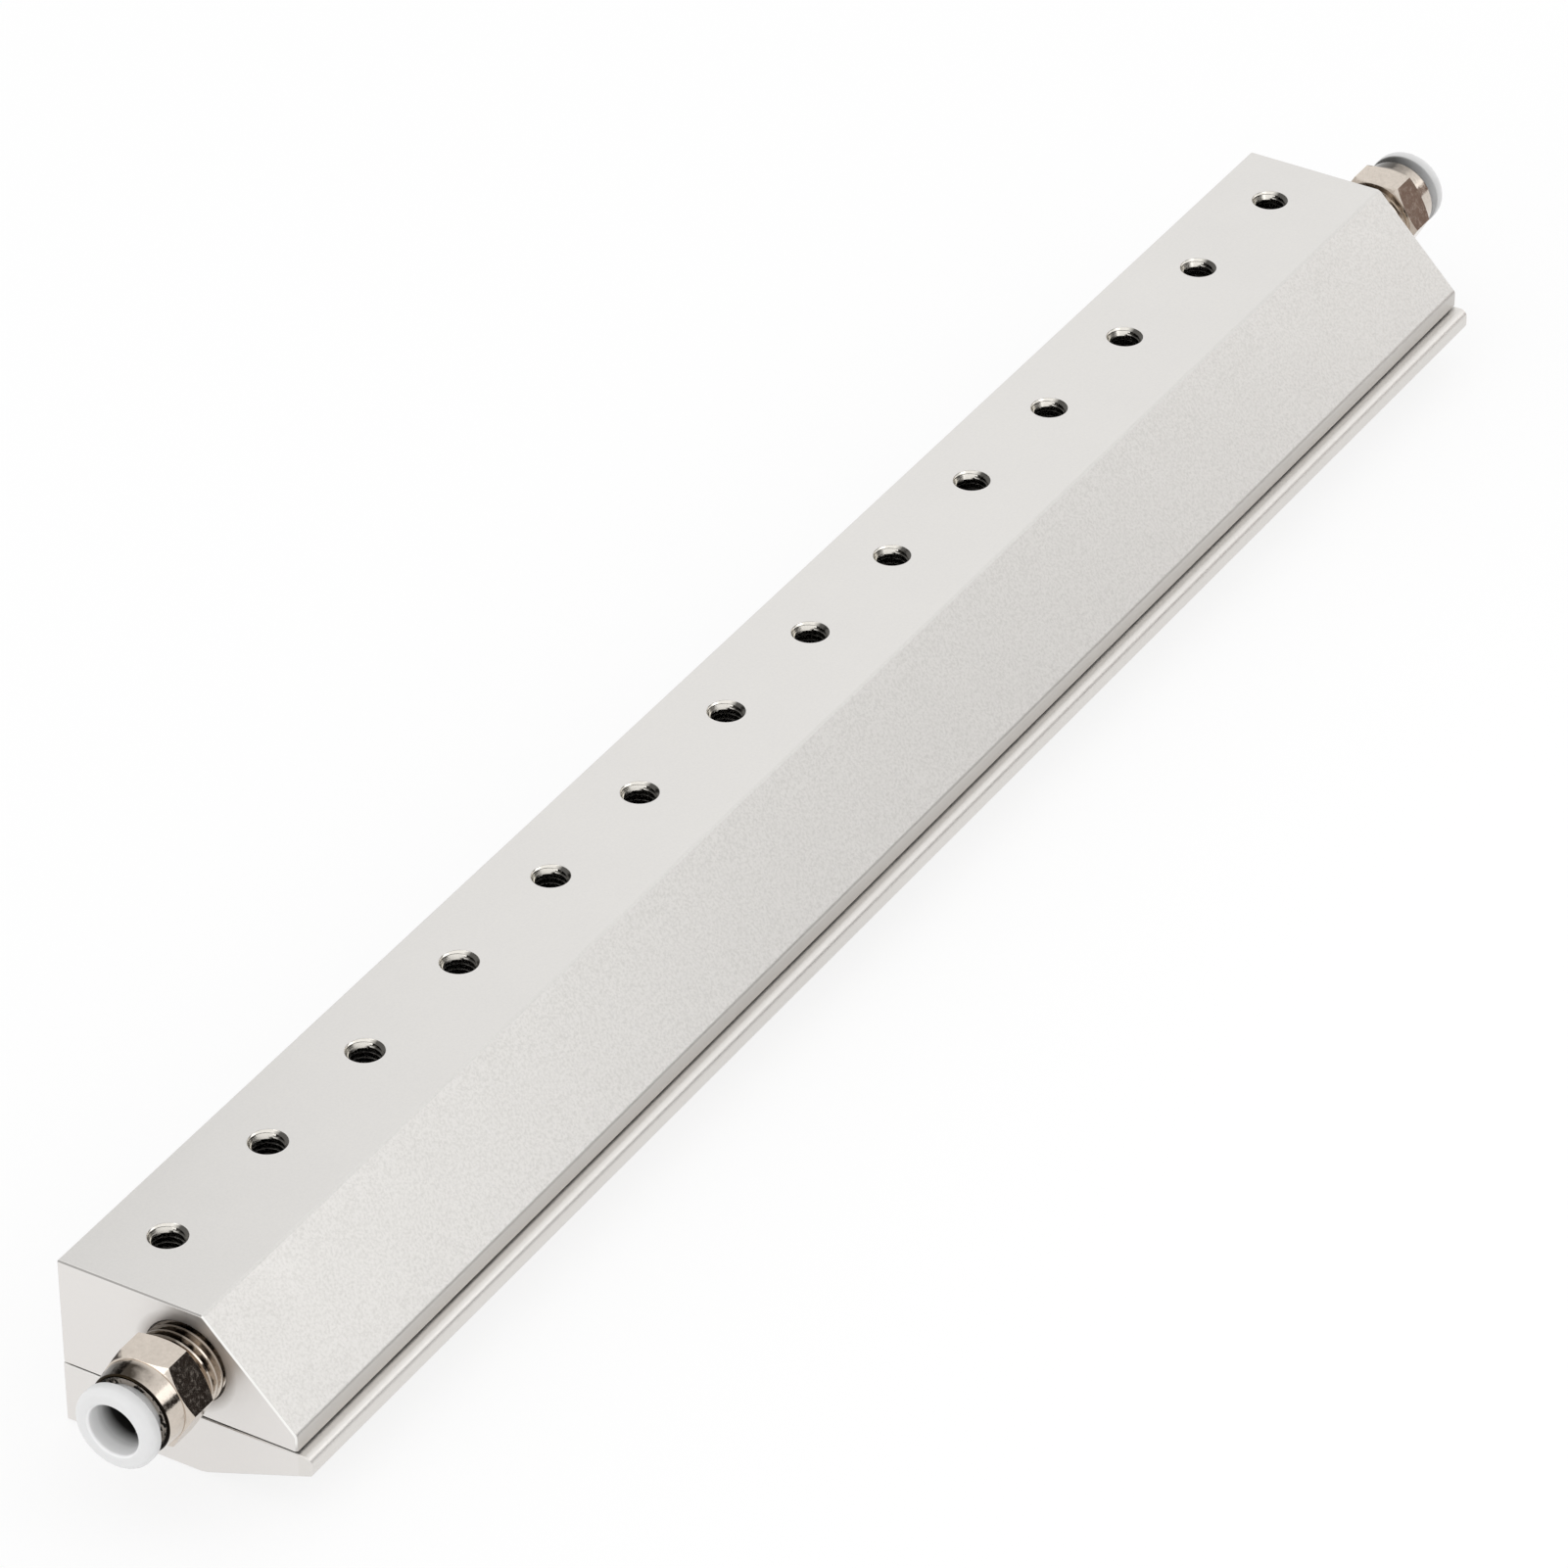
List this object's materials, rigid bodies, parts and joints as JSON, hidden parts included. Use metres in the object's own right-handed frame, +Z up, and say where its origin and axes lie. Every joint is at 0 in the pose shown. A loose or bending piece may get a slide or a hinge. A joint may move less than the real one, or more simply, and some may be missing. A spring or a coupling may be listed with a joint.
{
  "type": "compressed air knife",
  "caption": "Straight air knife of two clamped aluminium halves with a thin shim slot over a rounded lip and a push-in tube fitting at each end.",
  "frame": {"origin": "under the middle of the whole knife, on the plane of its foot face", "axes": "+X along the knife, -Y where the nose points, +Z up through the screws' tapped holes"},
  "size_m": [0.3856, 0.0418, 0.0285],
  "materials": {
    "knife_body": "bead blasted",
    "shim_film": "matte",
    "screw_steel": "black oxide",
    "nickel_plated_brass": "bright plated",
    "seal_rubber": "moulded",
    "ring_steel": "bright",
    "white_collar": "moulded, satin"
  },
  "bodies": {
    "housing": {"upper_half": "knife_body", "lower_half": "knife_body", "gap_shim": "shim_film", "clamp_screws": "screw_steel", "left_fitting_body": "nickel_plated_brass", "left_tube_seal": "seal_rubber", "left_spacer_ring": "ring_steel", "left_grip_ring": "ring_steel", "left_guide_ring": "nickel_plated_brass", "right_fitting_body": "nickel_plated_brass", "right_tube_seal": "seal_rubber", "right_spacer_ring": "ring_steel", "right_grip_ring": "ring_steel", "right_guide_ring": "nickel_plated_brass"},
    "left_collar": {"left_release_collar": "white_collar"},
    "right_collar": {"right_release_collar": "white_collar"}
  },
  "joints": [
    {"name": "left_collar_push", "type": "slide", "parent": "housing", "child": "left_collar", "axis": [1, 0, 0], "range_m": [0, 0.0017], "stiffness_N_per_m": 2000},
    {"name": "right_collar_push", "type": "slide", "parent": "housing", "child": "right_collar", "axis": [-1, 0, 0], "range_m": [0, 0.0017], "stiffness_N_per_m": 2000}
  ]
}
